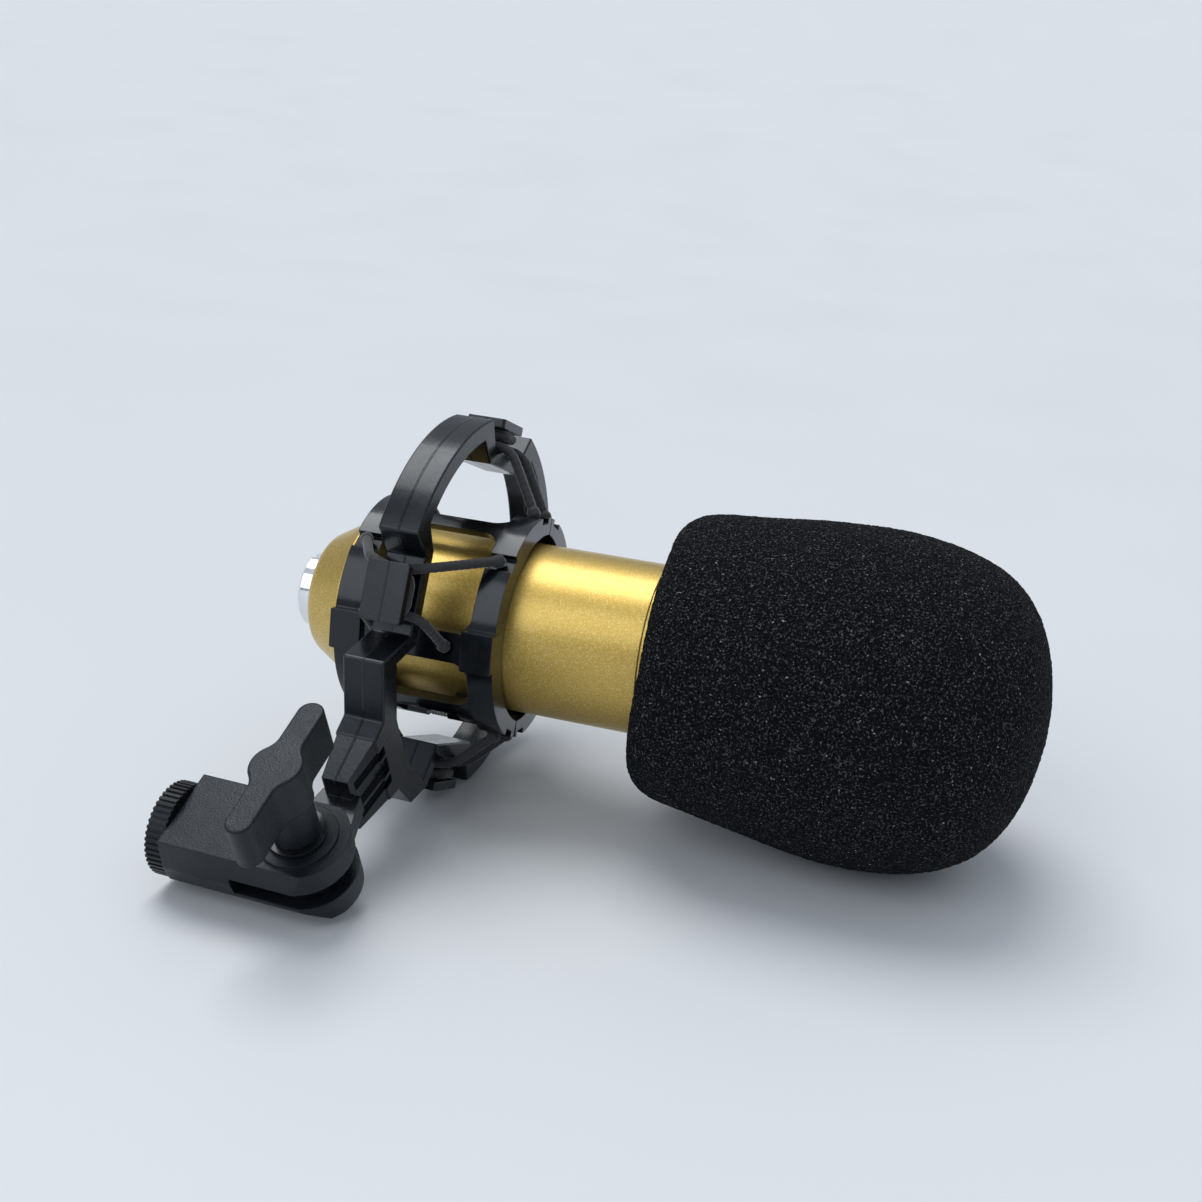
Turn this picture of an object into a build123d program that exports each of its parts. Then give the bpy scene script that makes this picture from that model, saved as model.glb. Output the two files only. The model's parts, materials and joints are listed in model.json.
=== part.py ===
from build123d import *
import os
from math import cos, radians, sin

# Studio condenser microphone lying on its side in an elastic shock mount, with a foam
# windscreen over its head and a swivel stand adapter on the mount's arm.
# Millimetres. The origin is the mouth of the stand thread, which opens towards -X.
# The shock mount's axis is parallel to X, the microphone's head points to +X and hangs a
# few degrees askew in the elastic cords, and +Z is up.

# ---------------------------------------------------------------- driving dimensions
BODY_R = 23.0  # microphone body, 46 mm across
BODY_WALL = 1.6
TAIL_S = -25.3  # stations along the microphone, measured from the shock mount's middle
TAPER_S = -35.4
TAIL_END_S = -38.4
RIM_S = -43.4
TUBE_END_S = 58.0
GRILLE_TOP_S = 117.0
GRILLE_R = 22.4
XLR_R = 10.3

FOAM_S = 57.1  # windscreen, a little askew on the head
FOAM_LENGTH = 102.0
FOAM_PITCH = 4.3
FOAM_YAW = 5.1
FOAM_BORE_R = 23.25

RING_R = 51.8  # outer frame of the shock mount
RING_WALL = 5.0
FRAME_WIDTH = 11.0
HOOK_FLOOR_R = 42.4
HOOK_INNER_R = 38.0
HEAD_IN_R = 48.6
HEAD_OUT_R = 51.0
NECK_R = 3.0
ARM_LENGTH = 92.0  # ring centre to swivel pivot
ARM_DROP = 24.6  # the arm slopes down from the ring by this angle
LUG_HALF = 2.6
LUG_R = 9.0

CAGE_HALF = 22.2  # inner cage: half its length
CAGE_R = 30.2
CAGE_BORE_R = 25.9
CAGE_RING_W = 7.0
JAW_GAP = 0.25
SHELL_IN_R = 26.4
SHELL_OUT_R = 29.4
SAG = 3.0  # the microphone hangs this far under the ring's centre
SHIFT = Vector(-0.8, -1.2, 0)
TURN = 2.0  # and its head swings this many degrees towards +Y
HINGE_R = 26.2
PIN_R = 1.25

CORD_R = 1.3
KNOT_R = 2.0
KNOT_CENTRE_R = 30.6
NOTCH_FLOOR_R = 28.4
NOTCH_WIDTH = 4.8
CORD_SPREAD = 31  # from the near and far hooks to their notches in the rings
ROD_ANGLE = 15.5  # from a jaw's middle to its thick rod
ROD_SEAT_S = 9.0

PIVOT_X = 36.3  # swivel stand adapter
SWIVEL_R = 12.0
SWIVEL_TOP = 9.0
SWIVEL_BOTTOM = 8.8
SLOT_DEPTH = 13.5
SLOT_HALF = 2.75
FLANGE_W = 4.8
FLANGE_R = 11.5
STUD_R = 3.0
THREAD_5_8_R = 7.94
THREAD_3_8_R = 4.7625
INSERT_R = 8.4
KNOB_TOP = 34.0
WING_HEIGHT = 12.0
WING_LENGTH = 39.0
STEM_R = 5.5

SLIP = 0.05  # running clearance
SNUG = 0.01  # clearance of pieces that are fixed to each other

# ---------------------------------------------------------------- frames of reference
OUT = Vector(0, -cos(radians(ARM_DROP)), -sin(radians(ARM_DROP)))  # ring centre to pivot
KNOB = Vector(0, -sin(radians(ARM_DROP)), cos(radians(ARM_DROP)))  # along the pivot bolt
ALONG = Vector(1, 0, 0)
PIVOT = Vector(PIVOT_X, 0, 0)
RING = PIVOT - OUT * ARM_LENGTH
MIC = RING + SHIFT - Vector(0, 0, SAG)
AHEAD = ALONG.rotate(Axis.Z, TURN)  # along the microphone, towards its head
MIC_KNOB = KNOB.rotate(Axis.Z, TURN)
MIC_OUT = OUT.rotate(Axis.Z, TURN)
MIC_AXIS = Axis(MIC, AHEAD)
LENGTHWISE = Plane(origin=MIC, x_dir=AHEAD, z_dir=AHEAD.cross(Vector(0, 0, 1)))  # y is radius
HOOKS = (45, 135, 225, 315)  # near, bottom, far, top; angles from KNOB towards OUT
NEAR_MIDDLE = 45
FAR_MIDDLE = 225


def ring_plane(x):
    """Across the outer frame, x in front of its middle."""
    return Plane(origin=RING + ALONG * x, x_dir=KNOB, z_dir=ALONG)


def mic_plane(s):
    """Across the microphone at station s."""
    return Plane(origin=MIC + AHEAD * s, x_dir=MIC_KNOB, z_dir=AHEAD)


def swivel_plane(height):
    """Across the pivot bolt, x along the stand thread."""
    return Plane(origin=KNOB * height, x_dir=ALONG, z_dir=KNOB)


def polar(angle):
    """Direction across the ring, at an angle from KNOB towards OUT."""
    return KNOB * cos(radians(angle)) + OUT * sin(radians(angle))


def mic_polar(angle):
    """The same direction across the microphone."""
    return MIC_KNOB * cos(radians(angle)) + MIC_OUT * sin(radians(angle))


def write(builder, name):
    builder.part.label = name
    export_step(builder.part, os.path.join("parts", name + ".step"))


def turned(points):
    """Solid of revolution about the microphone's axis from (station, radius) corners."""
    with BuildSketch(LENGTHWISE) as profile:
        Polygon(*points, align=None)
    revolve(profile.sketch, axis=MIC_AXIS)


def disc(s, thickness, radius, bore=0.0):
    """Disc or washer across the microphone."""
    with BuildSketch(mic_plane(s)) as profile:
        Circle(radius)
        if bore:
            Circle(bore, mode=Mode.SUBTRACT)
    extrude(profile.sketch, amount=thickness)


os.makedirs("parts", exist_ok=True)

# ---------------------------------------------------------------- microphone shell
with BuildPart() as body_tube:
    inner = BODY_R - BODY_WALL
    turned([(TAIL_S, inner), (TAIL_S, BODY_R - 0.4), (TAIL_S + 0.4, BODY_R),
            (TUBE_END_S - 0.3, BODY_R), (TUBE_END_S, BODY_R - 0.3), (TUBE_END_S, inner)])

with BuildPart() as tail_cap:
    spigot = BODY_R - BODY_WALL - SNUG
    with BuildSketch(LENGTHWISE):
        with BuildLine():
            rim = Line((TAIL_S - SNUG, spigot), (TAIL_S - SNUG, BODY_R - 0.5))
            corner = ThreePointArc(rim @ 1, (TAIL_S - 0.2, BODY_R - 0.12), (TAIL_S - 0.6, BODY_R - 0.15))
            cone = Line(corner @ 1, (TAPER_S, 17.3))
            nose = ThreePointArc(cone @ 1, (TAPER_S - 2.3, 15.0), (TAIL_END_S, 12.0))
            Polyline(nose @ 1, (TAIL_END_S, XLR_R + SNUG), (TAIL_END_S + 8, XLR_R + SNUG),
                     (TAIL_END_S + 8, 14.5), (TAIL_S + 4, spigot - 2), (TAIL_S + 4, spigot), rim @ 0)
        make_face()
    revolve(axis=MIC_AXIS)

with BuildPart() as grille_collar:
    top = TUBE_END_S + 4.5
    turned([(TUBE_END_S - 5, 19.0), (TUBE_END_S - 5, 21.3), (TUBE_END_S + SNUG, 21.3),
            (TUBE_END_S + SNUG, BODY_R - 0.2), (top - 0.5, BODY_R - 0.2), (top, BODY_R - 0.7),
            (top, 22.5), (top - 3, 22.5), (top - 3, 19.0)])


def dome_shell(radius, wall, start):
    """Head shell: a cylinder that closes in a flattened dome at the top."""
    shoulder = GRILLE_TOP_S - 17 - (GRILLE_R - radius)
    height = GRILLE_TOP_S - (GRILLE_R - radius) - shoulder
    with BuildSketch(LENGTHWISE) as profile:
        with BuildLine():
            side = Line((start, radius), (shoulder, radius))
            EllipticalCenterArc((shoulder, 0), height, radius, start_angle=0, arc_size=90)
            crown = Line((shoulder + height, 0), (shoulder + height - wall, 0))
            EllipticalCenterArc((shoulder, 0), height - wall, radius - wall, start_angle=0, arc_size=90)
            Polyline((shoulder, radius - wall), (start, radius - wall), side @ 0)
        make_face()
    revolve(profile.sketch, axis=MIC_AXIS)


with BuildPart() as head_grille:
    dome_shell(GRILLE_R, 0.8, TUBE_END_S + 1.6)

with BuildPart() as inner_mesh:
    dome_shell(GRILLE_R - 1.4, 0.5, TUBE_END_S + 1.6)

# ---------------------------------------------------------------- windscreen
foam_ahead = AHEAD.rotate(Axis.Y, FOAM_PITCH).rotate(Axis.Z, FOAM_YAW)
foam_frame = Plane(origin=MIC + AHEAD * FOAM_S, x_dir=foam_ahead, z_dir=foam_ahead.cross(Vector(0, 0, 1)))
with BuildPart() as foam_windscreen:
    with BuildSketch(foam_frame):
        with BuildLine():
            back = Line((0, 0), (0, 32.5))
            Spline(back @ 1, (3.5, 36.5), (14, 39.5), (34, 42.4), (55, 44.4), (75, 42.2),
                   (90, 34.5), (FOAM_LENGTH - 3, 19.5), (FOAM_LENGTH, 0))
            Line((FOAM_LENGTH, 0), (0, 0))
        make_face()
    revolve(axis=Axis(foam_frame.origin, foam_frame.x_dir))
    bore_floor = GRILLE_TOP_S + 0.6
    shoulder = bore_floor - 18
    with BuildSketch(LENGTHWISE):
        with BuildLine():
            Line((FOAM_S - 8, 0), (FOAM_S - 8, FOAM_BORE_R))
            Line((FOAM_S - 8, FOAM_BORE_R), (shoulder, FOAM_BORE_R))
            EllipticalCenterArc((shoulder, 0), bore_floor - shoulder, FOAM_BORE_R,
                                start_angle=0, arc_size=90)
            Line((bore_floor, 0), (FOAM_S - 8, 0))
        make_face()
    revolve(axis=MIC_AXIS, mode=Mode.SUBTRACT)

# ---------------------------------------------------------------- cable connector
with BuildPart() as xlr_shell:
    turned([(RIM_S, 8.9), (RIM_S + 0.5, 8.6), (-30, 8.6), (-30, XLR_R), (RIM_S + 0.6, XLR_R),
            (RIM_S, XLR_R - 0.6)])
    with BuildSketch(mic_plane(RIM_S)):
        with PolarLocations(XLR_R - 0.8, 1, start_angle=-20):
            Rectangle(2.6, 3.2)
    extrude(amount=3.0, mode=Mode.SUBTRACT)

with BuildPart() as xlr_insulator:
    disc(-34, 4.0, 8.6 - SNUG)
    with BuildSketch(mic_plane(-34)):
        with PolarLocations(4.5, 3, start_angle=70):
            Circle(1.2 + SNUG)
    extrude(amount=4.0, mode=Mode.SUBTRACT)

with BuildPart() as xlr_pins:
    with BuildSketch(mic_plane(-41)):
        with PolarLocations(4.5, 3, start_angle=70):
            Circle(1.2)
    extrude(amount=15.0)
    chamfer(faces().sort_by(Axis.X)[:3].edges(), 0.4)

# ---------------------------------------------------------------- inside the body
with BuildPart() as chassis_rails:
    with BuildSketch(mic_plane(-20)):
        for side in (1, -1):
            with Locations((0, side * 17.2)):
                Rectangle(7, 3)
    extrude(amount=72.0)

with BuildPart() as circuit_board:
    with BuildSketch(mic_plane(-14)):
        Rectangle(1.6, 31)
    extrude(amount=58.0)

with BuildPart() as board_components:
    for s, across, radius in ((-6, -8, 3.2), (6, 8, 4.0), (22, -6, 2.5), (34, 7, 3.2)):
        spot = MIC + AHEAD * s + MIC_OUT * across + MIC_KNOB * (0.8 + SNUG)
        with BuildSketch(Plane(origin=spot, x_dir=AHEAD, z_dir=MIC_KNOB)):
            Circle(radius)
        extrude(amount=9.0)

with BuildPart() as output_transformer:
    spot = MIC + AHEAD * 8 - MIC_KNOB * (0.8 + SNUG)
    with BuildSketch(Plane(origin=spot, x_dir=AHEAD, z_dir=MIC_KNOB * -1)):
        RectangleRounded(17, 14, 1.0)
    extrude(amount=10.0)

with BuildPart() as board_screws:
    for s in (-11, 41):
        for side in (1, -1):
            spot = MIC + AHEAD * s + MIC_OUT * (side * 12.5) + MIC_KNOB * (0.8 + SNUG)
            with BuildSketch(Plane(origin=spot, x_dir=AHEAD, z_dir=MIC_KNOB)):
                Circle(2.0)
            extrude(amount=1.4)

WIRE_DROP = 8.2
WIRE_SPREAD = 5.0
with BuildPart() as signal_wires:
    for side in (1, -1):
        with BuildSketch(Plane(origin=MIC + AHEAD * 45, x_dir=MIC_KNOB, z_dir=AHEAD)):
            with Locations((-WIRE_DROP, side * WIRE_SPREAD)):
                Circle(0.6)
        extrude(amount=26)

# ---------------------------------------------------------------- capsule
CAPSULE = MIC + AHEAD * 88
CAPSULE_R = 16.5


def capsule_plane(height):
    return Plane(origin=CAPSULE + MIC_KNOB * height, x_dir=AHEAD, z_dir=MIC_KNOB)


with BuildPart() as capsule_saddle:
    disc(TUBE_END_S - 1, 3.0, 19.0 - SNUG)
    with BuildSketch(mic_plane(TUBE_END_S + 2)):
        RectangleRounded(9, 16, 2)
    extrude(amount=11.2)
    with BuildSketch(mic_plane(TUBE_END_S - 1)):
        with Locations((-WIRE_DROP, WIRE_SPREAD), (-WIRE_DROP, -WIRE_SPREAD)):
            Circle(2.0)
    extrude(amount=20.0, mode=Mode.SUBTRACT)

with BuildPart() as capsule_housing:
    with BuildSketch(capsule_plane(-4)):
        Circle(CAPSULE_R)
        Circle(13.0, mode=Mode.SUBTRACT)
    extrude(amount=8.0)
    fillet(edges().filter_by(GeomType.CIRCLE).group_by(SortBy.LENGTH)[-1], 0.8)

with BuildPart() as capsule_backplate:
    with BuildSketch(capsule_plane(-3)):
        Circle(13.0 - SNUG)
        for radius, count in ((4, 6), (8, 12)):
            with PolarLocations(radius, count):
                Circle(0.8, mode=Mode.SUBTRACT)
    extrude(amount=4.6)

with BuildPart() as front_diaphragm:
    with BuildSketch(capsule_plane(1.7)):
        Circle(12.9)
    extrude(amount=0.15)

with BuildPart() as diaphragm_ring:
    with BuildSketch(capsule_plane(1.9)):
        Circle(13.0 - SNUG)
        Circle(10.5, mode=Mode.SUBTRACT)
        with PolarLocations(11.75, 6):
            Circle(0.6 + SNUG, mode=Mode.SUBTRACT)
    extrude(amount=1.6)

with BuildPart() as capsule_screws:
    with BuildSketch(capsule_plane(1.9)):
        with PolarLocations(11.75, 6):
            Circle(0.6)
    extrude(amount=2.2)

# ---------------------------------------------------------------- shock mount frame
def on_circle(radius, angle):
    return (radius * cos(radians(angle)), radius * sin(radians(angle)))


def at_hook(hook, radius, aside):
    """Point near a hook: radius outwards, aside along the ring towards larger angles."""
    turn = radians(hook)
    return (radius * cos(turn) - aside * sin(turn), radius * sin(turn) + aside * cos(turn))


def frame_contour(near_arm, ring_r, mouth, floor_r, floor_half):
    """Closed contour of the ring with its dips, x the bolt's direction and y the arm's.

    near_arm holds the corners between the arm's middle and the nearest hook."""
    near, top = 45, -45
    with BuildLine() as contour:
        Polyline(*near_arm, at_hook(near, floor_r, floor_half), at_hook(near, floor_r, -floor_half),
                 on_circle(ring_r, near - mouth))
        ThreePointArc(on_circle(ring_r, near - mouth), (ring_r, 0), on_circle(ring_r, top + mouth))
        Polyline(on_circle(ring_r, top + mouth), at_hook(top, floor_r, floor_half),
                 at_hook(top, floor_r, -floor_half), on_circle(ring_r, top - mouth))
        ThreePointArc(on_circle(ring_r, top - mouth), on_circle(ring_r, top - 1.3 * mouth),
                      (0, -ring_r))
        mirror(about=Plane.YZ)
    return contour.line


def frame_outline():
    """Ring that dips in at its four hooks, and two legs that meet at the arm's root."""
    outside = [(0, 62.0), (11.0, 62.0), (12.2, 56.8), (27.2, 51.0)]
    inside = [(0, 50.7), (7.4, 50.7), (21.5, 45.5)]
    add(frame_contour(outside, RING_R, 17, HOOK_FLOOR_R, 10.0))
    make_face()
    fillet(vertices(), 0.8)
    Polygon((-21.5, 54.5), (-30, 54.5), (-30, 42), (-25.4, 44.2), align=None, mode=Mode.SUBTRACT)
    add(frame_contour(inside, RING_R - RING_WALL, 23, HOOK_INNER_R, 12.0))
    make_face(mode=Mode.SUBTRACT)


def hook_plane(angle, radius):
    """Faces outwards at a hook, x along the microphone."""
    return Plane(origin=RING + polar(angle) * radius, x_dir=ALONG, z_dir=polar(angle))


def arm_plane(distance):
    """Across the arm, at a distance from the ring's centre."""
    return Plane(origin=RING + OUT * distance, x_dir=ALONG, z_dir=OUT)


ARM_ROOT = 57.5
ARM_END = 74.0
with BuildPart() as outer_frame:
    with BuildSketch(ring_plane(-FRAME_WIDTH / 2)):
        frame_outline()
    extrude(amount=FRAME_WIDTH)
    fillet(faces().filter_by(Axis.X).sort_by(Axis.X)[-1].edges(), 0.5)
    fillet(faces().filter_by(Axis.X).sort_by(Axis.X)[0].edges(), 0.5)
    for angle in HOOKS:
        with BuildSketch(hook_plane(angle, HOOK_FLOOR_R - 1)):
            Circle(NECK_R)
        extrude(amount=HEAD_IN_R - HOOK_FLOOR_R + 2)
        with BuildSketch(hook_plane(angle, HEAD_IN_R)):
            RectangleRounded(FRAME_WIDTH, 15.0, 0.8)
        extrude(amount=HEAD_OUT_R - HEAD_IN_R)
    with BuildSketch(arm_plane(ARM_ROOT)):
        Rectangle(FRAME_WIDTH, 23.0)
    with BuildSketch(arm_plane(ARM_END)):
        Rectangle(7.0, 17.0)
    loft()
    with BuildSketch(Plane(origin=PIVOT - KNOB * LUG_HALF, x_dir=ALONG, z_dir=KNOB)):
        Circle(LUG_R)
        Polygon((-LUG_R, 0), (LUG_R, 0), (5, 19.5), (-5, 19.5), align=None)
    extrude(amount=2 * LUG_HALF)
    for side in (1, -1):
        for low, high in ((-6.5, -3.6), (-2.6, 2.6), (3.6, 6.5)):
            channel = [(59, side * 4.2), (72, side * 2.8), (72, side * 9), (59, side * 9)]
            with BuildSketch(Plane(origin=RING + KNOB * low, x_dir=OUT, z_dir=KNOB)):
                Polygon(*channel, align=None)
            extrude(amount=high - low, mode=Mode.SUBTRACT)
    with BuildSketch(Plane(origin=PIVOT - KNOB * 5, x_dir=ALONG, z_dir=KNOB)):
        Circle(STUD_R + SLIP)
    extrude(amount=10, mode=Mode.SUBTRACT)

# ---------------------------------------------------------------- inner cage
BORE_SHIFT = CAGE_BORE_R - BODY_R - SLIP  # each jaw's bore touches the body at its middle
RING_IN = CAGE_HALF - CAGE_RING_W
HINGE = MIC + mic_polar(135) * HINGE_R
BARREL_R = 2.5
LEAF_END = 8.8


def jaw_window(direction, chord):
    """Rounded opening through the jaw's shell, between its two rings."""
    face = Plane(origin=MIC + mic_polar(direction) * 20, x_dir=AHEAD, z_dir=mic_polar(direction))
    with BuildSketch(face) as opening:
        RectangleRounded(2 * RING_IN, chord, min(5.0, 0.45 * chord))
    extrude(opening.sketch, amount=14, mode=Mode.SUBTRACT)


def jaw_half(middle, hinge_side):
    """Half cage: two half rings and a pierced shell between them.

    hinge_side is +1 where the jaw's hinge lies at a larger angle than its middle."""
    with BuildSketch(mic_plane(-CAGE_HALF + 1)) as shell:
        Circle(SHELL_OUT_R)
        Circle(SHELL_IN_R, mode=Mode.SUBTRACT)
    extrude(shell.sketch, amount=2 * CAGE_HALF - 2)
    for direction, chord in ((-hinge_side * 21, 29.0), (hinge_side * 38, 14.0),
                             (hinge_side * 81, 19.0), (-hinge_side * 79, 18.0)):
        jaw_window(middle + direction, chord)
    with BuildSketch(mic_plane(0)) as ring:
        Circle(CAGE_R)
        with Locations(on_circle(-BORE_SHIFT, middle)):
            Circle(CAGE_BORE_R, mode=Mode.SUBTRACT)
    for station in (-CAGE_HALF, RING_IN):
        extrude(ring.sketch.moved(Location(AHEAD * station)), amount=CAGE_RING_W)
    rod_angle = middle + hinge_side * ROD_ANGLE
    rod = Plane(origin=MIC + mic_polar(rod_angle) * SHELL_IN_R, x_dir=AHEAD, z_dir=mic_polar(rod_angle))
    with BuildSketch(rod) as bar:
        Rectangle(2 * CAGE_HALF, 8.0)
    extrude(bar.sketch, amount=4.2)
    with BuildSketch(rod) as blocks:
        with Locations((CAGE_HALF - 4, 0), (-CAGE_HALF + 4, 0)):
            RectangleRounded(8.4, 10.6, 0.6)
    extrude(blocks.sketch, amount=5.8)
    with BuildSketch(mic_plane(-30)) as other_side:
        with PolarLocations(0, 1, start_angle=middle):
            Polygon((JAW_GAP, -60), (JAW_GAP, 60), (-60, 60), (-60, -60), align=None)
    extrude(other_side.sketch, amount=60, mode=Mode.SUBTRACT)
    for station in (-CAGE_HALF, RING_IN):
        for angle in (-80, -hinge_side * CORD_SPREAD, 80):
            with BuildSketch(mic_plane(station)) as notch:
                with PolarLocations(CAGE_R, 1, start_angle=middle + angle):
                    Rectangle(2 * (CAGE_R - NOTCH_FLOOR_R), NOTCH_WIDTH)
            extrude(notch.sketch, amount=CAGE_RING_W, mode=Mode.SUBTRACT)
    with BuildSketch(rod.offset(NOTCH_FLOOR_R - SHELL_IN_R)) as seats:
        with Locations((ROD_SEAT_S, 0), (-ROD_SEAT_S, 0)):
            Circle(NOTCH_WIDTH / 2)
    extrude(seats.sketch, amount=5, mode=Mode.SUBTRACT)


def hinge_barrel(start, end):
    with BuildSketch(Plane(origin=HINGE + AHEAD * start, x_dir=MIC_KNOB, z_dir=AHEAD)) as round_end:
        Circle(BARREL_R)
    extrude(round_end.sketch, amount=end - start)


def hinge_leaf(start, end, first, last):
    """Curved plate from a hinge barrel to the jaw's lowest bar."""
    with BuildSketch(mic_plane(start)) as leaf:
        Circle(SHELL_OUT_R - 1)
        Circle(SHELL_IN_R - 2, mode=Mode.SUBTRACT)
        Polygon((0, 0), on_circle(60, first), on_circle(60, last), align=None,
                mode=Mode.INTERSECT)
    extrude(leaf.sketch, amount=end - start)


def pin_bore(clearance):
    start = HINGE - AHEAD * (RING_IN - 0.2)
    with BuildSketch(Plane(origin=start, x_dir=MIC_KNOB, z_dir=AHEAD)) as bore:
        Circle(PIN_R + clearance)
    extrude(bore.sketch, amount=2 * RING_IN - 0.4, mode=Mode.SUBTRACT)


with BuildPart() as near_jaw:
    jaw_half(NEAR_MIDDLE, 1)
    for start in (LEAF_END + 0.2, -RING_IN):
        hinge_barrel(start, start + RING_IN - LEAF_END - 0.2)
        hinge_leaf(start, start + RING_IN - LEAF_END - 0.2, 100, 132)
    pin_bore(SNUG)

with BuildPart() as far_jaw:
    jaw_half(FAR_MIDDLE, -1)
    for station in (-CAGE_HALF, RING_IN):
        with BuildSketch(mic_plane(station)):
            with PolarLocations(0, 1, start_angle=135):
                Polygon((HINGE_R + 0.3, -1), (60, -1), (60, 12), (HINGE_R + 0.3, 0.3), align=None)
        extrude(amount=CAGE_RING_W, mode=Mode.SUBTRACT)
    for start in (3.0, -LEAF_END):
        hinge_barrel(start, start + LEAF_END - 3)
        hinge_leaf(start, start + LEAF_END - 3, 138, 170)
    pin_bore(SLIP)

with BuildPart() as hinge_pin:
    with BuildSketch(Plane(origin=HINGE - AHEAD * (RING_IN - 0.3), x_dir=MIC_KNOB, z_dir=AHEAD)):
        Circle(PIN_R)
    extrude(amount=2 * RING_IN - 0.6)

with BuildPart() as jaw_spring:
    with BuildLine():
        coil = Helix(pitch=0.9, height=4.4, radius=1.85, center=HINGE - AHEAD * 2.2, direction=AHEAD)
    with BuildSketch(Plane(origin=coil @ 0, z_dir=coil % 0)):
        Circle(0.3)
    sweep(path=coil, is_frenet=True)

# ---------------------------------------------------------------- elastic cords
def hook_point(angle, aside, s, radius):
    """Point at a hook: aside along the ring, s along the microphone."""
    return RING + polar(angle) * radius + polar(angle + 90) * aside + ALONG * s


def cord(hook, direction, ends, level):
    """Cord from one knot over a hook's floor, round its neck and back to the other knot.

    direction is +1 for the front half and -1 for the rear half. Each end is the angle and
    the distance from the cage's middle where its knot sits."""
    aside = NECK_R + CORD_R + 0.25
    edge_s = direction * (FRAME_WIDTH / 2 + 2.0)
    behind = hook_point(hook, 0, -direction * aside, level)
    for side, (angle, distance) in zip((-1, 1), ends):
        knot = MIC + mic_polar(hook + angle) * KNOT_CENTRE_R + AHEAD * (direction * distance)
        wide = aside + (3.0 if abs(angle) == CORD_SPREAD else 0.5)
        edge = hook_point(hook, side * wide, edge_s, level - 0.1)
        corner = hook_point(hook, side * aside, -direction * aside, level)
        with BuildLine() as path:
            FilletPolyline(behind, corner, edge, knot, radius=2.9)
        with BuildSketch(Plane(origin=behind, z_dir=corner - behind)) as section:
            Circle(CORD_R)
        sweep(section.sketch, path=path.line)
        with Locations(Plane(origin=knot, x_dir=knot - edge, z_dir=(edge - knot).cross(AHEAD))):
            Sphere(KNOT_R)


def cord_set(direction, level):
    """One cord on each of the four hooks."""
    in_ring = RING_IN + CAGE_RING_W / 2
    straight = ((-10, in_ring), (10, in_ring))
    cord(135, direction, straight, level)
    cord(315, direction, straight, level)
    cord(NEAR_MIDDLE, direction, ((-CORD_SPREAD, in_ring), (ROD_ANGLE, ROD_SEAT_S)), level)
    cord(FAR_MIDDLE, direction, ((-ROD_ANGLE, ROD_SEAT_S), (CORD_SPREAD, in_ring)), level)


with BuildPart() as front_cords:
    cord_set(1, HOOK_FLOOR_R + CORD_R + 0.2)

with BuildPart() as rear_cords:
    cord_set(-1, HOOK_FLOOR_R + 3 * CORD_R + 0.5)

# ---------------------------------------------------------------- stand adapter
BODY_X = FLANGE_W + 0.1
INSERT_LENGTH = 15.0
with BuildPart() as swivel_body:
    with BuildSketch(swivel_plane(-SWIVEL_BOTTOM)):
        with Locations((BODY_X, 0)):
            Rectangle(PIVOT_X - BODY_X, 2 * SWIVEL_R, align=(Align.MIN, Align.CENTER))
        with Locations((PIVOT_X, 0)):
            Circle(SWIVEL_R)
    extrude(amount=SWIVEL_TOP + SWIVEL_BOTTOM)
    with BuildSketch(Plane(origin=(0, 0, 0), x_dir=OUT, z_dir=ALONG)):
        half = [(10.6, SWIVEL_TOP), (SWIVEL_R, 1.0), (11.4, -4.0), (8.0, -SWIVEL_BOTTOM + 0.5),
                (5.0, -SWIVEL_BOTTOM)]
        Polygon(*[(x, -y) for x, y in half], *[(-x, -y) for x, y in reversed(half)], align=None)
        fillet(vertices().group_by(Axis.X)[0] + vertices().group_by(Axis.X)[-1], 3.0)
    extrude(amount=80, mode=Mode.INTERSECT)
    with BuildSketch(swivel_plane(SWIVEL_TOP)):
        with Locations((PIVOT_X, 0)):
            Circle(9.4)
    extrude(amount=0.8)
    with BuildSketch(swivel_plane(-SLOT_HALF)):
        with Locations((PIVOT_X - SLOT_DEPTH, 0)):
            Rectangle(40, 40, align=(Align.MIN, Align.CENTER))
    extrude(amount=2 * SLOT_HALF, mode=Mode.SUBTRACT)
    with BuildSketch(swivel_plane(-20)):
        with Locations((PIVOT_X, 0)):
            Circle(STUD_R + 0.15)
    extrude(amount=40, mode=Mode.SUBTRACT)
    with BuildSketch(swivel_plane(-SWIVEL_BOTTOM)):
        with Locations((PIVOT_X, 0)):
            RegularPolygon(5.6, 6, major_radius=True)
    extrude(amount=4.6, mode=Mode.SUBTRACT)
    with BuildSketch(Plane.YZ.offset(BODY_X)):
        Circle(INSERT_R + SNUG)
    extrude(amount=INSERT_LENGTH, mode=Mode.SUBTRACT)

with BuildPart() as captive_nut:
    with BuildSketch(swivel_plane(-SWIVEL_BOTTOM + 0.5)):
        with Locations((PIVOT_X, 0)):
            RegularPolygon(5.55, 6, major_radius=True)
            Circle(STUD_R + SLIP, mode=Mode.SUBTRACT)
    extrude(amount=4.0)

with BuildPart() as thread_insert:
    with BuildSketch(Plane.YZ.offset(BODY_X + 0.1)):
        Circle(INSERT_R)
        Circle(THREAD_5_8_R + SLIP, mode=Mode.SUBTRACT)
    extrude(amount=INSERT_LENGTH - 0.2)

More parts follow.
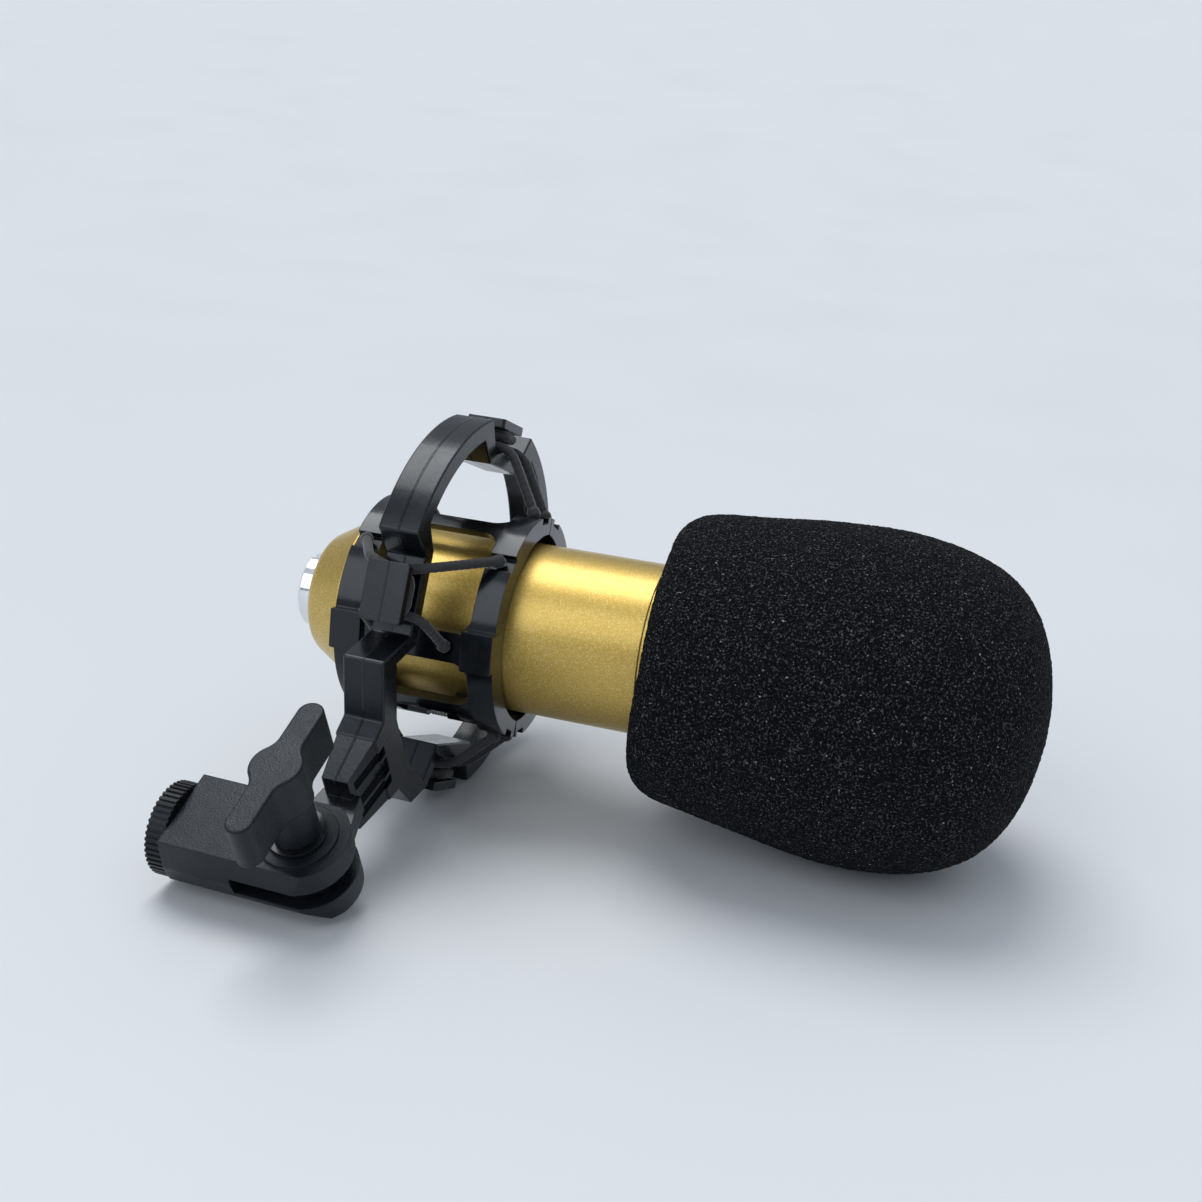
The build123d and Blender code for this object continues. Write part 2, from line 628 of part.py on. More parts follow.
KNURLS = 48
with BuildPart() as thread_adapter:
    with BuildSketch(Plane.YZ):
        Circle(FLANGE_R)
        with PolarLocations(FLANGE_R, KNURLS):
            Rectangle(0.9, 0.75, mode=Mode.SUBTRACT)
    extrude(amount=FLANGE_W)
    with BuildSketch(Plane.YZ.offset(FLANGE_W)):
        Circle(THREAD_5_8_R)
    extrude(amount=13.0)
    with BuildSketch(Plane.YZ):
        Circle(THREAD_3_8_R + SLIP)
    extrude(amount=FLANGE_W + 13.0, mode=Mode.SUBTRACT)

WASHER_TOP = SWIVEL_TOP + 0.8 + 0.1 + 1.0
with BuildPart() as knob_washer:
    with BuildSketch(swivel_plane(WASHER_TOP - 1.0)):
        with Locations((PIVOT_X, 0)):
            Circle(7.0)
            Circle(STUD_R + SLIP, mode=Mode.SUBTRACT)
    extrude(amount=1.0)

with BuildPart() as wing_knob:
    with BuildSketch(swivel_plane(KNOB_TOP - WING_HEIGHT)):
        with Locations((PIVOT_X, 0)):
            SlotOverall(WING_LENGTH, 6.4, rotation=90)
            Circle(6.2)
        fillet(vertices(), 5.0)
    extrude(amount=WING_HEIGHT)
    fillet(faces().sort_by(Axis(PIVOT, KNOB))[-1].edges(), 0.6)
    with BuildSketch(swivel_plane(WASHER_TOP + 0.05)):
        with Locations((PIVOT_X, 0)):
            Circle(STEM_R)
    extrude(amount=KNOB_TOP - WING_HEIGHT - WASHER_TOP + 1)
    with BuildSketch(swivel_plane(WASHER_TOP)):
        with Locations((PIVOT_X, 0)):
            Circle(STUD_R + SNUG)
    extrude(amount=16.5, mode=Mode.SUBTRACT)

with BuildPart() as knob_bolt:
    with BuildSketch(swivel_plane(-SWIVEL_BOTTOM + 0.8)):
        with Locations((PIVOT_X, 0)):
            Circle(STUD_R)
    extrude(amount=SWIVEL_BOTTOM + WASHER_TOP + 15.0)

# ---------------------------------------------------------------- export
PIECES = {
    "body_tube": body_tube,
    "tail_cap": tail_cap,
    "grille_collar": grille_collar,
    "head_grille": head_grille,
    "inner_mesh": inner_mesh,
    "foam_windscreen": foam_windscreen,
    "xlr_shell": xlr_shell,
    "xlr_insulator": xlr_insulator,
    "xlr_pins": xlr_pins,
    "chassis_rails": chassis_rails,
    "circuit_board": circuit_board,
    "board_components": board_components,
    "output_transformer": output_transformer,
    "board_screws": board_screws,
    "signal_wires": signal_wires,
    "capsule_saddle": capsule_saddle,
    "capsule_housing": capsule_housing,
    "capsule_backplate": capsule_backplate,
    "front_diaphragm": front_diaphragm,
    "diaphragm_ring": diaphragm_ring,
    "capsule_screws": capsule_screws,
    "outer_frame": outer_frame,
    "near_jaw": near_jaw,
    "far_jaw": far_jaw,
    "hinge_pin": hinge_pin,
    "jaw_spring": jaw_spring,
    "front_cords": front_cords,
    "rear_cords": rear_cords,
    "swivel_body": swivel_body,
    "captive_nut": captive_nut,
    "thread_insert": thread_insert,
    "thread_adapter": thread_adapter,
    "knob_washer": knob_washer,
    "wing_knob": wing_knob,
    "knob_bolt": knob_bolt,
}
for name, builder in PIECES.items():
    write(builder, name)
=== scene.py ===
import json
from math import atan2, cos, pi, radians, sin

import bmesh
import bpy
from mathutils import Matrix, Vector, noise


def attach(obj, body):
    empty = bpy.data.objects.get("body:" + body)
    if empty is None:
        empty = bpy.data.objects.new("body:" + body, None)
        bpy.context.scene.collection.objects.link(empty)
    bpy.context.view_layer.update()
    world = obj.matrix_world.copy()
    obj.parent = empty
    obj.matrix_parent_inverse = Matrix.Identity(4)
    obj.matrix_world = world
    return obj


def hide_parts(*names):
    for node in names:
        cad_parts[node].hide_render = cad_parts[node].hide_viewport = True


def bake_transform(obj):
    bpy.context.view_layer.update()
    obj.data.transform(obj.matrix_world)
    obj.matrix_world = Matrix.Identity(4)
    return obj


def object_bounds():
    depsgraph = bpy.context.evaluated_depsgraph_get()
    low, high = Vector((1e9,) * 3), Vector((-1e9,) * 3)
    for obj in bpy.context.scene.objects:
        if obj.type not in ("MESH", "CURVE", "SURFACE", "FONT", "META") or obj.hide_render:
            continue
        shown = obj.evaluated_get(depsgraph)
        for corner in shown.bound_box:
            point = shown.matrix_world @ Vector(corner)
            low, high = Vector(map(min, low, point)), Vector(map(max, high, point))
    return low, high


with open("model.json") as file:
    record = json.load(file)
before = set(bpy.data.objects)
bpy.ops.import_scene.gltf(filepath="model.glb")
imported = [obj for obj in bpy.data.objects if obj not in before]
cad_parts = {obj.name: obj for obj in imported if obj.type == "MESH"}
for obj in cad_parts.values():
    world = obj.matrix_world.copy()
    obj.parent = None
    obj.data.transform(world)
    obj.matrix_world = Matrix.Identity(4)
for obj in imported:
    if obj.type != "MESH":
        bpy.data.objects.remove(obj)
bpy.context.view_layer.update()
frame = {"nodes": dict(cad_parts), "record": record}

MM = 0.001
ARM_LENGTH = 92 * MM  # ring centre to the pivot
CONNECTOR_BACK = 43.4 * MM  # from the microphone's own centre back to the connector's mouth

# ---------------------------------------------------------------- places, from the frame
joints = {joint["name"]: joint for joint in frame["record"]["behaviour"]["joints"]}
mounts = {mount["name"]: mount for mount in frame["record"]["mounts"]}
ALONG = Vector((1, 0, 0))
KNOB = Vector(joints["arm_tilt"]["axis"])
OUT = ALONG.cross(KNOB)
PIVOT = Vector(joints["arm_tilt"]["pos_m"])
RING = PIVOT - OUT * ARM_LENGTH
AHEAD = Vector(joints["microphone_withdraw"]["axis"])
MIC = Vector(mounts["cable_connector"]["pos_m"]) + AHEAD * CONNECTOR_BACK
TURN = Matrix.Rotation(atan2(AHEAD.y, AHEAD.x), 3, "Z")
MIC_KNOB = TURN @ KNOB
MIC_OUT = TURN @ OUT
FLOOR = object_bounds()[0][2]


def polar(angle):
    """Direction across the shock mount's ring, from KNOB towards OUT."""
    return KNOB * cos(radians(angle)) + OUT * sin(radians(angle))


def mic_polar(angle):
    """The same across the microphone."""
    return MIC_KNOB * cos(radians(angle)) + MIC_OUT * sin(radians(angle))


# ---------------------------------------------------------------- materials
class Shader:
    """A material under construction: nodes are added with their inputs by name."""

    def __init__(self, name):
        self.material = bpy.data.materials.new(name)
        self.material.use_nodes = True
        self.tree = self.material.node_tree
        self.surface = self.tree.nodes["Principled BSDF"]
        self.place = self.tree.nodes.new("ShaderNodeTexCoord").outputs["Object"]

    def add(self, kind, inputs=None, **settings):
        node = self.tree.nodes.new(kind)
        for key, value in settings.items():
            setattr(node, key, value)
        for key, value in (inputs or {}).items():
            self.put(node.inputs[key], value)
        return node

    def put(self, socket, value):
        if isinstance(value, bpy.types.NodeSocket):
            self.tree.links.new(value, socket)
        else:
            socket.default_value = value

    def set(self, **inputs):
        for key, value in inputs.items():
            self.put(self.surface.inputs[key.replace("_", " ")], value)

    def noise(self, scale, detail=3.0, rough=0.5, vector=None):
        """Noise with features of about 1 / scale metres."""
        place = vector or self.place
        return self.add("ShaderNodeTexNoise", {"Vector": place, "Scale": scale, "Detail": detail,
                                               "Roughness": rough}).outputs["Fac"]

    def cells(self, scale, output="Distance"):
        node = self.add("ShaderNodeTexVoronoi", {"Vector": self.place, "Scale": scale})
        return node.outputs[output]

    def remap(self, value, low, high, to_low, to_high):
        return self.add("ShaderNodeMapRange", {"Value": value, "From Min": low, "From Max": high,
                                               "To Min": to_low, "To Max": to_high}).outputs["Result"]

    def math(self, operation, a, b=0.0):
        return self.add("ShaderNodeMath", {0: a, 1: b}, operation=operation).outputs[0]

    def mix(self, factor, a, b):
        node = self.add("ShaderNodeMix", {"Factor": factor, 6: a, 7: b}, data_type="RGBA")
        return node.outputs[2]

    def bump(self, height, distance, strength=1.0, normal=None):
        inputs = {"Height": height, "Distance": distance, "Strength": strength}
        if normal is not None:
            inputs["Normal"] = normal
        return self.add("ShaderNodeBump", inputs).outputs["Normal"]

    def soft_edges(self, radius):
        """Normal that rounds the edges, and a mask that is 1 on them."""
        bevel = self.add("ShaderNodeBevel", {"Radius": radius}, samples=4).outputs["Normal"]
        flat = self.add("ShaderNodeNewGeometry").outputs["Normal"]
        facing = self.add("ShaderNodeVectorMath", {0: bevel, 1: flat}, operation="DOT_PRODUCT")
        edge = self.remap(facing.outputs["Value"], 0.75, 0.99, 1.0, 0.0)
        return bevel, edge


def rgb(red, green, blue):
    return (red, green, blue, 1.0)


def shade(color, factor):
    return (color[0] * factor, color[1] * factor, color[2] * factor, 1.0)


def moulded(name, color, roughness, grain, depth, edge_radius=0.5, coat=0.0, edge_highlight=1.8, seam=None):
    """Moulded plastic: fine grain, a cloudy sheen and edges painted lighter as a highlight.

    seam is the x of the plane where the two halves of its mould met."""
    s = Shader(name)
    normal, edge = s.soft_edges(edge_radius * MM)
    cloud = s.noise(70, 4)
    tone = s.mix(cloud, shade(color, 0.8), shade(color, 1.2))
    # painted highlight: the edges are painted lighter, as light caught on them
    s.set(Base_Color=s.mix(s.math("MULTIPLY", edge, 0.6), tone, shade(color, edge_highlight)))
    streak = s.noise(420, 2)
    rough = s.math("ADD", s.remap(cloud, 0.3, 0.7, -0.05, 0.06), s.remap(streak, 0.3, 0.7, -0.03, 0.03))
    s.set(Roughness=s.math("ADD", rough, roughness))
    if seam is not None:
        across = s.add("ShaderNodeSeparateXYZ", {"Vector": s.place}).outputs["X"]
        away = s.math("ABSOLUTE", s.math("SUBTRACT", across, seam))
        line = s.remap(away, 0.08 * MM, 0.32 * MM, 1.0, 0.0)
        normal = s.bump(line, 0.35 * MM, 1.0, normal)
    s.set(Normal=s.bump(s.noise(grain, 2, 0.6), depth * MM, 1.0, normal))
    s.set(Coat_Weight=coat, Coat_Roughness=0.12, Specular_IOR_Level=0.34, Specular_Tint=rgb(0.84, 0.92, 1.0))
    return s.material


def metal(name, color, roughness, brushed=0.0, metallic=1.0, edge_radius=0.25):
    """Metal with fine scratches; brushed stretches them across the x axis."""
    s = Shader(name)
    normal = s.soft_edges(edge_radius * MM)[0]
    stretch = s.add("ShaderNodeMapping", {"Vector": s.place, "Scale": (1, 1 - brushed, 1 - brushed)})
    scratch = s.noise(2600, 3, 0.7, stretch.outputs["Vector"])
    smudge = s.noise(90, 3)
    s.set(Metallic=metallic)
    s.set(Base_Color=s.mix(s.remap(smudge, 0.3, 0.7, 0.0, 1.0), shade(color, 0.86), shade(color, 1.08)))
    rough = s.remap(s.math("ADD", scratch, smudge), 0.6, 1.4, roughness * 0.7, roughness * 1.4)
    s.set(Roughness=rough)
    s.set(Normal=s.bump(scratch, 0.02 * MM, 0.5, normal))
    return s.material


def gold_paint():
    """Satin gold paint: metal flakes under a thin clear coat, with a faint orange peel."""
    s = Shader("gold_paint")
    normal, edge = s.soft_edges(0.35 * MM)
    flake_color = s.cells(5200, "Color")
    flake = s.add("ShaderNodeSeparateColor", {"Color": flake_color}).outputs["Red"]
    cloud = s.noise(45, 3)
    base = s.mix(cloud, rgb(0.50, 0.335, 0.065), rgb(0.56, 0.38, 0.08))
    bright = s.mix(s.remap(flake, 0.6, 1.0, 0.0, 0.6), base, rgb(0.95, 0.74, 0.32))
    # painted highlight: the edges are painted a paler gold, as light caught on them
    s.set(Base_Color=s.mix(s.math("MULTIPLY", edge, 0.5), bright, rgb(0.92, 0.76, 0.40)))
    s.set(Metallic=0.82)
    s.set(Roughness=s.remap(flake, 0.0, 1.0, 0.34, 0.44))
    tilt = s.bump(s.noise(4200, 2, 0.7), 0.03 * MM, 0.4, normal)
    s.set(Normal=s.bump(s.noise(240, 2), 0.03 * MM, 0.3, tilt))
    s.set(Coat_Weight=0.3, Coat_Roughness=0.14, Coat_IOR=1.5)
    return s.material


def foam_rubber():
    """Open-cell foam: dark struts, painted shade in the hollows between them, and painted glints: fine pale
    specks and a few bright ones.
    """
    s = Shader("foam_rubber")
    cell = s.cells(1250)
    tone = s.noise(30, 3)
    strut = s.mix(tone, rgb(0.0035, 0.0037, 0.0046), rgb(0.006, 0.0063, 0.0078))
    # painted shade: the hollows between the struts are painted near black
    hollow_shade = s.remap(cell, 0.12, 0.48, 1.0, 0.0)
    base = s.mix(hollow_shade, strut, rgb(0.0008, 0.0008, 0.001))
    # painted highlight: this noise paints fine pale specks as glints and also drives the fine bump; a few
    # specks are painted brighter still
    glint_and_bump_noise = s.noise(1900, 1, 0.5)
    glint_mask = s.remap(glint_and_bump_noise, 0.55, 0.72, 0.0, 1.0)
    rare_glint_mask = s.remap(s.noise(1100, 1), 0.66, 0.74, 0.0, 1.0)
    glinted = s.mix(glint_mask, base, rgb(0.075, 0.078, 0.086))
    s.set(Base_Color=s.mix(s.math("MULTIPLY", glint_mask, rare_glint_mask), glinted, rgb(0.42, 0.43, 0.46)))
    s.set(Roughness=0.92, Specular_IOR_Level=0.1)
    coarse = s.bump(cell, 0.7 * MM, 1.0)
    s.set(Normal=s.bump(glint_and_bump_noise, 0.55 * MM, 0.9, coarse))
    return s.material


def braided_cord():
    """Black textile braid: the ridges are in the mesh, the threads are drawn on them."""
    s = Shader("braided_cord")
    thread = s.noise(5200, 2, 0.7)
    tone = s.noise(180, 2)
    s.set(Base_Color=s.mix(s.remap(thread, 0.35, 0.7, 0.0, 1.0),
                           s.mix(tone, rgb(0.006, 0.006, 0.007), rgb(0.011, 0.011, 0.012)),
                           rgb(0.045, 0.045, 0.05)))
    s.set(Roughness=0.72, Sheen_Weight=0.3, Sheen_Roughness=0.4)
    s.set(Normal=s.bump(thread, 0.08 * MM, 0.6))
    return s.material


def circuit_green():
    """Solder mask with copper tracks that show through it and tinned pads."""
    s = Shader("circuit_green")
    tracks = s.add("ShaderNodeTexBrick", {"Vector": s.place, "Scale": 95.0, "Mortar Size": 0.03},
                   offset=0.35)
    pads = s.remap(s.cells(260), 0.12, 0.15, 1.0, 0.0)
    mask = s.mix(tracks.outputs["Fac"], rgb(0.012, 0.085, 0.035), rgb(0.03, 0.17, 0.06))
    s.set(Base_Color=s.mix(pads, mask, rgb(0.7, 0.68, 0.62)))
    s.set(Metallic=pads, Roughness=s.remap(s.noise(300), 0.3, 0.7, 0.28, 0.45))
    s.set(Normal=s.bump(tracks.outputs["Fac"], 0.05 * MM, 0.6))
    return s.material


def fine_gauze():
    """Fine woven wire; the gaps between its threads are painted dark as shade, not made see-through."""
    s = Shader("fine_gauze")
    place = s.add("ShaderNodeVectorMath", {0: s.place, 1: (2400.0,) * 3}, operation="MULTIPLY")
    parts = s.add("ShaderNodeSeparateXYZ", {"Vector": place.outputs["Vector"]})
    waves = [s.math("ABSOLUTE", s.math("SINE", parts.outputs[axis])) for axis in "XZ"]
    weave = s.math("MAXIMUM", waves[0], waves[1])
    s.set(Metallic=0.9, Roughness=s.remap(weave, 0.5, 1.0, 0.6, 0.3))
    # painted shade: the gaps between the threads are painted dark, the crests of the wires gold
    s.set(Base_Color=s.mix(s.remap(weave, 0.75, 0.95, 0.0, 1.0), rgb(0.04, 0.04, 0.04),
                           rgb(0.48, 0.42, 0.30)))
    s.set(Normal=s.bump(weave, 0.08 * MM, 0.9))
    return s.material


GOLD = gold_paint()
FOAM = foam_rubber()
CORD = braided_cord()
FRAME = moulded("frame_plastic", (0.0035, 0.0044, 0.0062), 0.25, 900, 0.03, 0.5, 0.2, 3.5, RING.x)
CAGE = moulded("cage_plastic", (0.003, 0.0037, 0.0052), 0.19, 700, 0.03, 0.5, 0.3, 3.5)
GRAINED = moulded("grained_plastic", (0.0052, 0.0066, 0.009), 0.36, 2200, 0.14, 0.6, 0.0, 2.8)
RIBBED = moulded("ribbed_plastic", (0.006, 0.0063, 0.007), 0.42, 2300, 0.04, 0.2, 0.0, 2.6)
WASHER = moulded("washer_plastic", (0.006, 0.006, 0.007), 0.22, 900, 0.02, 0.3, 0.3, 2.0)
SADDLE = moulded("saddle_plastic", (0.012, 0.012, 0.012), 0.5, 1100, 0.05)
INSULATOR = moulded("insulator_plastic", (0.008, 0.008, 0.009), 0.55, 1000, 0.04)
COMPONENT = moulded("component_sleeve", (0.02, 0.03, 0.07), 0.25, 500, 0.02, 0.4, 0.4)
WIRE = moulded("wire_sleeve", (0.35, 0.02, 0.012), 0.35, 900, 0.02, 0.1, 0.2)
CHROME = metal("connector_chrome", (0.80, 0.81, 0.83), 0.09)
STEEL = metal("zinc_steel", (0.62, 0.63, 0.65), 0.30, 0.6)
BRASS = metal("turned_brass", (0.72, 0.53, 0.22), 0.24, 0.5)
DIAPHRAGM = metal("gold_film", (0.86, 0.66, 0.28), 0.12, 0.0, 1.0, 0.05)
ALUMINIUM = metal("rail_aluminium", (0.66, 0.67, 0.69), 0.36, 0.8)
IRON = metal("transformer_iron", (0.20, 0.21, 0.23), 0.45, 0.3)
WIRE_GRILLE = metal("grille_wire", (0.60, 0.50, 0.30), 0.28, 0.2)
GAUZE = fine_gauze()
BOARD = circuit_green()

FINISH = {
    GOLD: ("body_tube", "tail_cap", "grille_collar"),
    CHROME: ("xlr_shell",),
    INSULATOR: ("xlr_insulator",),
    BRASS: ("xlr_pins", "thread_insert", "capsule_housing", "capsule_backplate", "diaphragm_ring"),
    ALUMINIUM: ("chassis_rails",),
    BOARD: ("circuit_board",),
    COMPONENT: ("board_components",),
    IRON: ("output_transformer",),
    WIRE: ("signal_wires",),
    SADDLE: ("capsule_saddle",),
    DIAPHRAGM: ("front_diaphragm",),
    FRAME: ("outer_frame",),
    CAGE: ("near_jaw", "far_jaw"),
    GRAINED: ("swivel_body", "wing_knob"),
    RIBBED: ("thread_adapter",),
    WASHER: ("knob_washer",),
    STEEL: ("captive_nut", "knob_bolt", "hinge_pin", "jaw_spring", "capsule_screws",
            "board_screws"),
    GAUZE: ("inner_mesh",),
    WIRE_GRILLE: ("head_grille",),
    FOAM: ("foam_windscreen",),
    CORD: ("front_cords", "rear_cords"),
}
for material, names in FINISH.items():
    for name in names:
        node = frame["nodes"][name]
        if not node.material_slots:
            node.data.materials.append(material)
        for each in node.material_slots:
            each.link = "OBJECT"
            each.material = material


# ---------------------------------------------------------------- mesh helpers
def piece(name, mesh, material, body, node=None):
    """Adds a mesh to the scene as a piece that rides on a body."""
    made = bpy.data.objects.new(name, mesh)
    bpy.context.scene.collection.objects.link(made)
    made.data.materials.clear()
    made.data.materials.append(material)
    for face in made.data.polygons:
        face.use_smooth = True
    if body:
        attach(made, body)
    if node:
        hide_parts(node)
    return made


BEND_STEPS = 8


def smooth_path(corners, cut, step):
    """Points along a polyline whose corners are rounded, cut before and after each one."""
    points = [corners[0]]
    for before, corner, after in zip(corners, corners[1:], corners[2:]):
        start = corner + (before - corner).normalized() * min(cut, (before - corner).length * 0.49)
        end = corner + (after - corner).normalized() * min(cut, (after - corner).length * 0.49)
        for i in range(BEND_STEPS + 1):
            t = i / BEND_STEPS
            points.append(start * (1 - t) ** 2 + corner * 2 * t * (1 - t) + end * t ** 2)
    points.append(corners[-1])
    even = [points[0]]
    spare = 0.0
    for a, b in zip(points, points[1:]):
        length = (b - a).length
        at = step - spare
        while at < length:
            even.append(a.lerp(b, at / length))
            at += step
        spare = length - (at - step)
    return even


def tube(points, radius_at, around=16):
    """Closed tube along points; radius_at gives the radius from distance and angle."""
    work = bmesh.new()
    side = (points[1] - points[0]).orthogonal().normalized()
    rings = []
    travelled = 0.0
    for i, point in enumerate(points):
        tangent = (points[min(i + 1, len(points) - 1)] - points[max(i - 1, 0)]).normalized()
        side = (side - tangent * side.dot(tangent)).normalized()
        other = tangent.cross(side)
        if i:
            travelled += (point - points[i - 1]).length
        ring = []
        for k in range(around):
            turn = 2 * pi * k / around
            reach = radius_at(travelled, turn)
            ring.append(work.verts.new(point + side * cos(turn) * reach + other * sin(turn) * reach))
        rings.append(ring)
    for lower, upper in zip(rings, rings[1:]):
        for k in range(around):
            n = (k + 1) % around
            work.faces.new((lower[k], lower[n], upper[n], upper[k]))
    work.faces.new(reversed(rings[0]))
    work.faces.new(rings[-1])
    bmesh.ops.recalc_face_normals(work, faces=work.faces)
    mesh = bpy.data.meshes.new("tube")
    work.to_mesh(mesh)
    work.free()
    return mesh


# ---------------------------------------------------------------- windscreen
FOAM_VOXEL = 0.55 * MM
FOAM_SETTLE = 4 * MM  # height over which the foam flattens onto the floor
FOAM_SETTLE_POWER = 1.6


def foam_mesh():
    """The windscreen's solid, remeshed finely, with a rough skin that settles onto the floor."""
    source = bpy.data.objects.new("foam_source", frame["nodes"]["foam_windscreen"].data.copy())
    bpy.context.scene.collection.objects.link(source)
    weld = source.modifiers.new("weld", "WELD")
    weld.merge_threshold = 0.01 * MM
    remesh = source.modifiers.new("remesh", "REMESH")
    remesh.mode = "VOXEL"
    remesh.voxel_size = FOAM_VOXEL
    evaluated = source.evaluated_get(bpy.context.evaluated_depsgraph_get())
    mesh = bpy.data.meshes.new_from_object(evaluated)
    bpy.data.objects.remove(source)
    normals = [Vector(normal.vector) for normal in mesh.vertex_normals]
    for vertex, normal in zip(mesh.vertices, normals):
        place = vertex.co
        rough = noise.noise(place / (0.9 * MM)) * 0.24 + noise.noise(place / (2.1 * MM)) * 0.12
        swell = noise.noise(place / (17 * MM)) * 0.3
        place = place + normal * (swell + rough - 0.1) * MM
        height = place.z - FLOOR
        if height < FOAM_SETTLE:
            place.z = FLOOR + max(0.0, height) ** FOAM_SETTLE_POWER / FOAM_SETTLE ** (FOAM_SETTLE_POWER - 1)
        vertex.co = place
    return mesh


piece("foam_cover", foam_mesh(), FOAM, "windscreen", "foam_windscreen")

# ---------------------------------------------------------------- head grille
GRILLE_R = 22.2 * MM
GRILLE_START = 59.6 * MM
GRILLE_TOP = 116.8 * MM
GRILLE_DOME = 17 * MM
WIRE_PITCH = 2.1 * MM
GRILLE_AROUND = 72
GRILLE_WEAVE = 0.16 * MM
GRILLE_WIRE = 0.6 * MM
DOME_ROWS = 14
DOME_END = 86  # degrees up the dome at which the wires stop


def woven_grille():
    """Wires that cross over and under each other, closed over the top in a dome."""
    shoulder = GRILLE_TOP - GRILLE_DOME
    stations = []
    rows = round((shoulder - GRILLE_START) / WIRE_PITCH)
    for i in range(rows):
        stations.append((GRILLE_START + (shoulder - GRILLE_START) * i / rows, GRILLE_R))
    for i in range(DOME_ROWS + 1):
        turn = radians(DOME_END * i / DOME_ROWS)
        stations.append((shoulder + GRILLE_DOME * sin(turn), GRILLE_R * cos(turn)))
    work = bmesh.new()
    rings = []
    for i, (station, radius) in enumerate(stations):
        ring = []
        for k in range(GRILLE_AROUND):
            weave = GRILLE_WEAVE * (1 if (i + k) % 2 else -1)
            spoke = mic_polar(360 * k / GRILLE_AROUND)
            ring.append(work.verts.new(MIC + AHEAD * station + spoke * (radius + weave)))
        rings.append(ring)
    for lower, upper in zip(rings, rings[1:]):
        for k in range(GRILLE_AROUND):
            n = (k + 1) % GRILLE_AROUND
            work.faces.new((lower[k], lower[n], upper[n], upper[k]))
    mesh = bpy.data.meshes.new("woven_grille")
    work.to_mesh(mesh)
    work.free()
    return mesh


grille = piece("woven_grille", woven_grille(), WIRE_GRILLE, "microphone", "head_grille")
wires = grille.modifiers.new("wires", "WIREFRAME")
wires.thickness = GRILLE_WIRE
wires.use_even_offset = False

# ---------------------------------------------------------------- elastic cords
CORD_R = 1.3 * MM
KNOT_R = 1.8 * MM
KNOT_CENTRE = 30.6 * MM
HOOK_FLOOR = 42.4 * MM
CORD_ASIDE = 4.55 * MM
CORD_EDGE = 7.5 * MM
RING_STATION = 18.7 * MM
ROD_STATION = 9.0 * MM
CORD_STEP = 0.3 * MM
CORD_BEND = 4.4 * MM
CORD_GAP = 0.2 * MM  # between a cord and the floor of its hook
CORD_TAIL = 2.0 * MM  # past the middle of the knot
KNOT_HALF = 1.7 * MM
BRAID_TURN = 0.62 * MM
BRAID_STRANDS = 4
WIDE_SPREAD = 3.0 * MM
CLOSE_SPREAD = 0.5 * MM
SPREAD = 31
ROD_ANGLE = 15.5
HOOK_ENDS = {
    135: ((-10, RING_STATION, "cage"), (10, RING_STATION, "jaw")),
    315: ((-10, RING_STATION, "jaw"), (10, RING_STATION, "cage")),
    45: ((-SPREAD, RING_STATION, "cage"), (ROD_ANGLE, ROD_STATION, "cage")),
    225: ((-ROD_ANGLE, ROD_STATION, "jaw"), (SPREAD, RING_STATION, "jaw")),
}


def at_hook(hook, aside, station, level):
    return RING + polar(hook) * level + polar(hook + 90) * aside + ALONG * station


def braid(knot_at=None):
    """Radius of a braided cord, which swells into a knot near one end."""
    def radius(travelled, turn):
        along = travelled / BRAID_TURN
        strands = sin(BRAID_STRANDS * turn + along) * sin(BRAID_STRANDS * turn - along)
        reach = CORD_R * (0.97 + 0.07 * strands)
        if knot_at is not None:
            away = (travelled - knot_at) / KNOT_HALF
            if abs(away) < 1:
                reach += (KNOT_R - CORD_R) * (1 - away * away) ** 0.5
            if away > 0:
                reach *= max(0.08, 1 - away * away) ** 0.5
        return reach
    return radius


def hang_cord(name, hook, direction, level):
    """One cord in pieces: a half towards each knot, split again where the jaw carries it."""
    for side, (angle, station, body) in zip((-1, 1), HOOK_ENDS[hook]):
        knot = MIC + mic_polar(hook + angle) * KNOT_CENTRE + AHEAD * direction * station
        wide = CORD_ASIDE + (WIDE_SPREAD if abs(angle) == SPREAD else CLOSE_SPREAD)
        edge = at_hook(hook, side * wide, direction * CORD_EDGE, level - 0.1 * MM)
        corner = at_hook(hook, side * CORD_ASIDE, -direction * CORD_ASIDE, level)
        behind = at_hook(hook, 0, -direction * CORD_ASIDE, level)
        end = knot + (knot - edge).normalized() * CORD_TAIL
        points = smooth_path([behind, corner, edge, end], CORD_BEND, CORD_STEP)
        length = CORD_STEP * (len(points) - 1)
        first = min(range(len(points)), key=lambda i: (points[i] - edge).length)
        middle = (first + len(points)) // 2
        mark = f"{name}_{hook}_{'a' if side < 0 else 'b'}"
        knot_at = length - CORD_TAIL
        if body == "cage":
            strand = piece(mark, tube(points, braid(knot_at)), CORD, None)
            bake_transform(strand)
        else:
            outer = piece(mark + "_outer", tube(points[:middle + 1], braid()), CORD, None)
            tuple(points[middle])
            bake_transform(outer)
            rest = points[middle:]
            shorter = CORD_STEP * (len(rest) - 1) - CORD_TAIL
            inner = piece(mark + "_inner", tube(rest, braid(shorter)), CORD, None)
            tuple(points[middle])
            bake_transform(inner)
            yield inner
            strand = outer
        yield strand


FRONT_LEVEL = HOOK_FLOOR + CORD_R + CORD_GAP
REAR_LEVEL = HOOK_FLOOR + 3 * CORD_R + 0.5 * MM
for name, node, direction, level in (("front_cord", "front_cords", 1, FRONT_LEVEL),
                                     ("rear_cord", "rear_cords", -1, REAR_LEVEL)):
    for hook in HOOK_ENDS:
        for strand in hang_cord(name, hook, direction, level):
            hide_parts(node)

# ---------------------------------------------------------------- floor, light and camera
BOWL_FLAT = 0.5
BOWL_RISE = 0.55
BOWL_REACH = 3.0
BOWL_CURVE = 2.4
BOWL_RINGS = 24
BOWL_AROUND = 96
BOWL_FORWARD = 0.04


